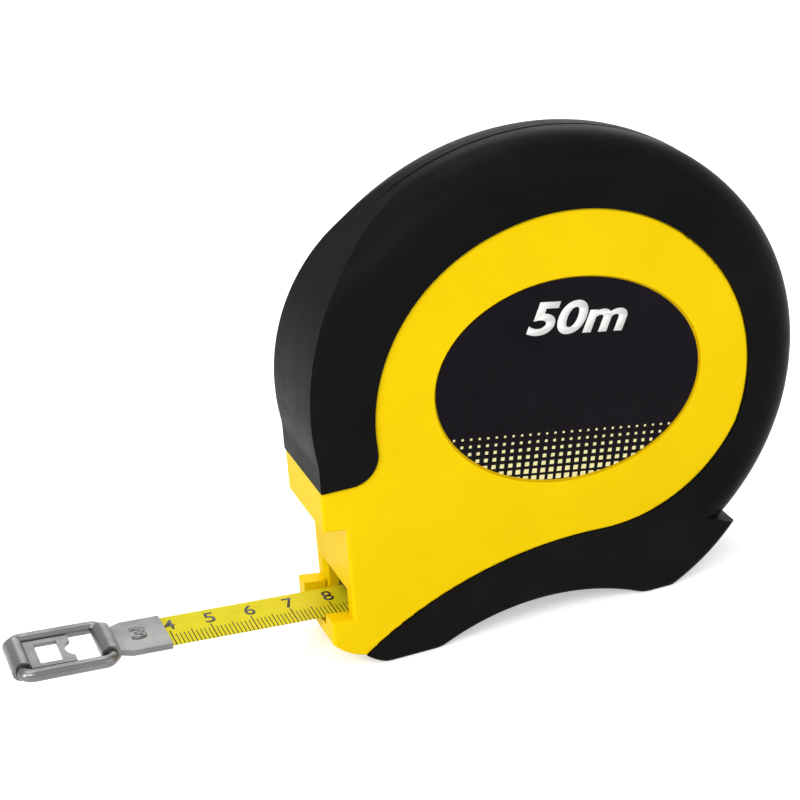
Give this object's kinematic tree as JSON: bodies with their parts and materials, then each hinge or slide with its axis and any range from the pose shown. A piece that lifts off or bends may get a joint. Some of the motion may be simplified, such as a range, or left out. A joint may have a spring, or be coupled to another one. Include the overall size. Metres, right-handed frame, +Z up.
{
  "type": "long tape measure",
  "caption": "Closed-case long tape measure: round case with grip and arched foot, blade pulled out to a clip, ring and folding claw, wound by a folding crank.",
  "frame": {"origin": "middle of the front foot pad, on the surface that the case stands on", "axes": "+X from the nose to the heel, +Y from the label side to the crank side, +Z up"},
  "size_m": [0.2033, 0.03, 0.1236],
  "materials": {
    "case_yellow": "gloss",
    "grip_rubber": "matte",
    "foot_black": "satin",
    "label_black": "gloss",
    "tape_yellow": "satin",
    "hook_steel": "satin",
    "pin_steel": "satin",
    "reel_plastic": "satin",
    "bush_brass": "satin",
    "crank_black": "satin",
    "crank_steel": "satin"
  },
  "bodies": {
    "case": {"front_shell": "case_yellow", "rear_shell": "case_yellow", "front_grip": "grip_rubber", "rear_grip": "grip_rubber", "front_foot": "foot_black", "rear_foot": "foot_black", "front_label": "label_black", "case_screws": "pin_steel", "mouth_guide": "reel_plastic", "tape_lead": "tape_yellow", "reel_axle": "pin_steel", "rear_bearing_ring": "reel_plastic"},
    "reel": {"reel_hub": "reel_plastic", "front_flange": "reel_plastic", "rear_flange": "reel_plastic", "flange_screws": "pin_steel", "hub_bush": "bush_brass", "tape_roll": "tape_yellow", "crank_plate": "crank_black", "crank_plate_screws": "pin_steel", "crank_hinge_pin": "pin_steel"},
    "crank": {"crank_arm": "crank_steel", "knob_spindle": "pin_steel"},
    "knob": {"crank_knob": "crank_black"},
    "blade": {"tape_blade": "tape_yellow", "end_clip": "hook_steel"},
    "ring": {"end_ring": "hook_steel"},
    "claw": {"folding_claw": "hook_steel"}
  },
  "joints": [
    {"name": "tape_pull", "type": "slide", "parent": "case", "child": "blade", "axis": [-0.9969, 0, 0.0785], "range_m": [-0.039, 0]},
    {"name": "reel_spin", "type": "hinge", "parent": "case", "child": "reel", "pos_m": [0.04285, 0, 0.0641], "axis": [0, 1, 0], "continuous": true},
    {"name": "crank_fold", "type": "hinge", "parent": "reel", "child": "crank", "pos_m": [0.06435, 0.0141, 0.0641], "axis": [0, 0, -1], "range_deg": [0, 180]},
    {"name": "knob_spin", "type": "hinge", "parent": "crank", "child": "knob", "pos_m": [0.02935, 0.006, 0.0641], "axis": [0, 1, 0], "continuous": true},
    {"name": "ring_swing", "type": "hinge", "parent": "blade", "child": "ring", "pos_m": [-0.07297, 0, 0.0174], "axis": [0, 1, 0], "range_deg": [-90, 90]},
    {"name": "claw_fold", "type": "hinge", "parent": "ring", "child": "claw", "pos_m": [-0.09381, 0, 0.01904], "axis": [0, -1, 0], "range_deg": [0, 180]}
  ],
  "couplings": [
    {"joint": "reel_spin", "follows": "tape_pull", "rad_per_m": 20.243}
  ]
}
